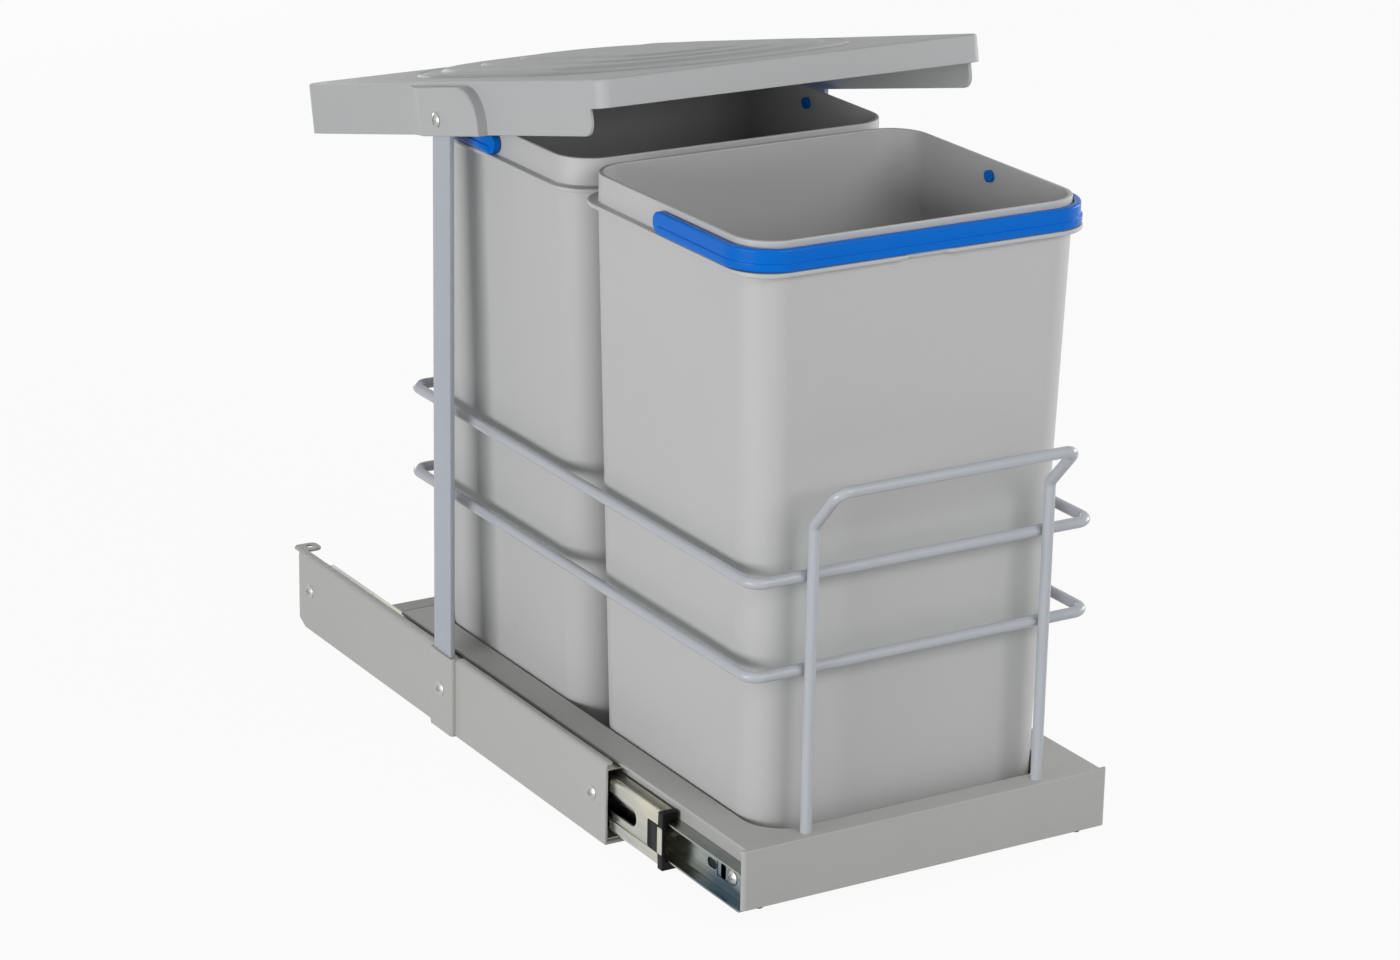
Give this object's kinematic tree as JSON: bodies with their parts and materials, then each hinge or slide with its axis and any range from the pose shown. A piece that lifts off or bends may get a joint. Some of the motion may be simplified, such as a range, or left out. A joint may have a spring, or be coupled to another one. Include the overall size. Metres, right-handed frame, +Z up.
{
  "type": "pull-out bin frame",
  "caption": "Pull-out waste bin frame for a base cabinet: tapered bins in a sliding tray on ball-bearing rails, wire guard and pull handle, tilting lid on flat uprights.",
  "frame": {"origin": "on the cabinet floor, midway between the four floor screw holes and under the lid pivot", "axes": "+X to the right seen from the front, +Y to the rear of the cabinet, +Z up; the tray pulls out along -Y"},
  "size_m": [0.2526, 0.5291, 0.4131],
  "materials": {
    "plate_paint": "satin grey powder coat",
    "upright_paint": "satin cool grey powder coat",
    "tray_paint": "satin grey powder coat",
    "wire_paint": "semi-gloss cool grey powder coat",
    "zinc": "bright zinc plate",
    "ball_steel": "bright steel",
    "screw_steel": "zinc plate",
    "black_plastic": "matte black",
    "lid_plastic": "fine-grained matte grey",
    "bin_plastic": "fine-grained matte light grey",
    "blue_plastic": "semi-gloss blue"
  },
  "bodies": {
    "frame": {"left_side_plate": "plate_paint", "right_side_plate": "plate_paint", "rear_tie": "plate_paint", "left_upright": "upright_paint", "right_upright": "upright_paint", "left_outer_rail": "zinc", "right_outer_rail": "zinc", "plate_screws": "screw_steel", "upright_screws": "screw_steel", "lid_pivot_screws": "screw_steel"},
    "tray": {"tray": "tray_paint", "tray_feet": "black_plastic", "left_inner_rail": "zinc", "right_inner_rail": "zinc", "inner_rail_screws": "screw_steel", "pull_handle": "wire_paint", "upper_ring": "wire_paint", "lower_ring": "wire_paint", "rear_stay": "wire_paint"},
    "left_middle": {"left_middle_rail": "zinc", "left_middle_end": "black_plastic"},
    "right_middle": {"right_middle_rail": "zinc", "right_middle_end": "black_plastic"},
    "left_outer_balls": {"left_outer_cage": "ball_steel"},
    "right_outer_balls": {"right_outer_cage": "ball_steel"},
    "left_inner_balls": {"left_inner_cage": "ball_steel"},
    "right_inner_balls": {"right_inner_cage": "ball_steel"},
    "lid": {"lid": "lid_plastic"},
    "front_bin": {"front_bin": "bin_plastic"},
    "rear_bin": {"rear_bin": "bin_plastic"},
    "front_handle": {"front_bin_handle": "blue_plastic"},
    "rear_handle": {"rear_bin_handle": "blue_plastic"}
  },
  "joints": [
    {"name": "tray_slide", "type": "slide", "parent": "frame", "child": "tray", "axis": [0, -1, 0], "range_m": [-0.108, 0.217]},
    {"name": "left_middle_slide", "type": "slide", "parent": "frame", "child": "left_middle", "axis": [0, -1, 0], "range_m": [-0.0542, 0.1087]},
    {"name": "left_outer_ball_roll", "type": "slide", "parent": "frame", "child": "left_outer_balls", "axis": [0, -1, 0], "range_m": [-0.0272, 0.05445]},
    {"name": "left_inner_ball_roll", "type": "slide", "parent": "frame", "child": "left_inner_balls", "axis": [0, -1, 0], "range_m": [-0.0812, 0.16295]},
    {"name": "right_middle_slide", "type": "slide", "parent": "frame", "child": "right_middle", "axis": [0, -1, 0], "range_m": [-0.0542, 0.1087]},
    {"name": "right_outer_ball_roll", "type": "slide", "parent": "frame", "child": "right_outer_balls", "axis": [0, -1, 0], "range_m": [-0.0272, 0.05445]},
    {"name": "right_inner_ball_roll", "type": "slide", "parent": "frame", "child": "right_inner_balls", "axis": [0, -1, 0], "range_m": [-0.0812, 0.16295]},
    {"name": "lid_tilt", "type": "hinge", "parent": "frame", "child": "lid", "pos_m": [0, 0, 0.3563], "axis": [-1, 0, 0], "range_deg": [-10.1, 20.3]},
    {"name": "front_bin_lift", "type": "slide", "parent": "tray", "child": "front_bin", "axis": [0, 0, 1], "range_m": [0, 0.035]},
    {"name": "rear_bin_lift", "type": "slide", "parent": "tray", "child": "rear_bin", "axis": [0, 0, 1], "range_m": [0, 0.003]},
    {"name": "front_handle_swing", "type": "hinge", "parent": "front_bin", "child": "front_handle", "pos_m": [0, -0.2043, 0.3465], "axis": [-1, 0, 0], "range_deg": [0, 95]},
    {"name": "rear_handle_swing", "type": "hinge", "parent": "rear_bin", "child": "rear_handle", "pos_m": [0, -0.0243, 0.3465], "axis": [1, 0, 0], "range_deg": [0, 4]}
  ],
  "couplings": [
    {"joint": "left_middle_slide", "follows": "tray_slide", "ratio": 0.5},
    {"joint": "left_outer_ball_roll", "follows": "tray_slide", "ratio": 0.25},
    {"joint": "left_inner_ball_roll", "follows": "tray_slide", "ratio": 0.75},
    {"joint": "right_middle_slide", "follows": "tray_slide", "ratio": 0.5},
    {"joint": "right_outer_ball_roll", "follows": "tray_slide", "ratio": 0.25},
    {"joint": "right_inner_ball_roll", "follows": "tray_slide", "ratio": 0.75},
    {"joint": "lid_tilt", "follows": "tray_slide", "rad_per_m": 1.616}
  ]
}
